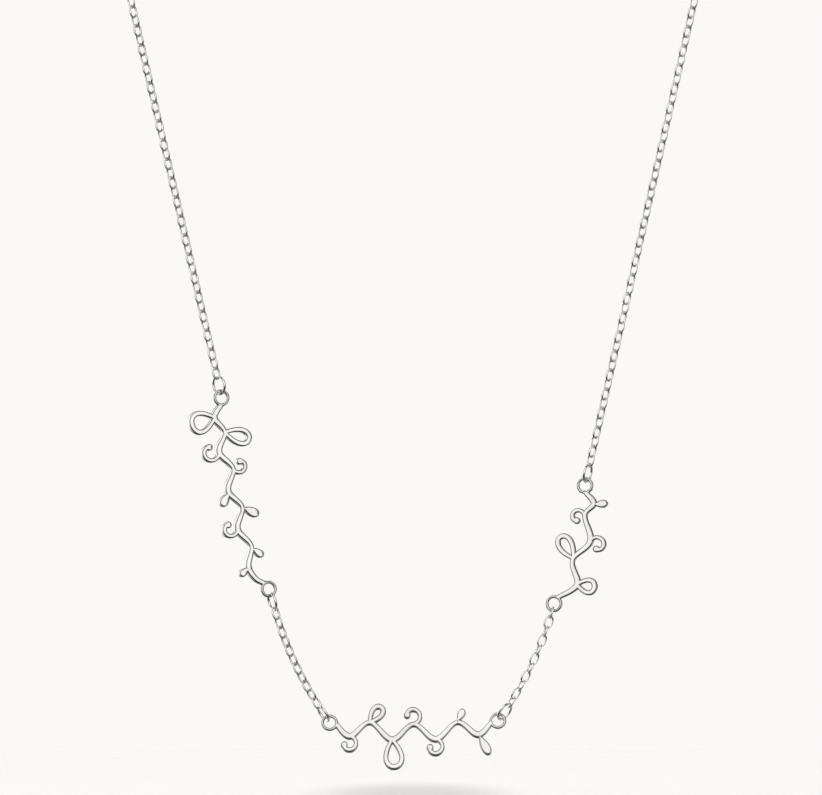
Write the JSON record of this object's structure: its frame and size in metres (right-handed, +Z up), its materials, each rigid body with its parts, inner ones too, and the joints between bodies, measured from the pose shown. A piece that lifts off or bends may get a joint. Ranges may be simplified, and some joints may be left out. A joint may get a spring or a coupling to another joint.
{
  "type": "flourish plate necklace",
  "caption": "Fine oval-link chain necklace with cut-out flourish plates joined end to end by jump rings, in its worn form, closed by a barrel clasp at the nape.",
  "frame": {"origin": "back of the neck, where the clasp rests on it", "axes": "+Z up, -Y towards the front of the chest, +X to the right as seen from the front"},
  "size_m": [0.0931, 0.0602, 0.1515],
  "materials": {
    "plate_silver": "polished silver",
    "ring_silver": "polished silver",
    "chain_silver": "polished silver",
    "clasp_silver": "polished silver"
  },
  "bodies": {
    "root": {"plate_left": "plate_silver", "plate_centre": "plate_silver", "plate_right": "plate_silver", "jump_ring_left_top": "ring_silver", "jump_ring_left_low": "ring_silver", "jump_ring_centre_left": "ring_silver", "jump_ring_centre_right": "ring_silver", "jump_ring_right_top": "ring_silver", "chain_lower_left": "chain_silver", "chain_lower_right": "chain_silver", "chain_upper_left": "chain_silver", "chain_upper_right": "chain_silver", "chain_nape_left": "chain_silver", "chain_nape_right": "chain_silver", "clasp": "clasp_silver"}
  },
  "joints": []
}
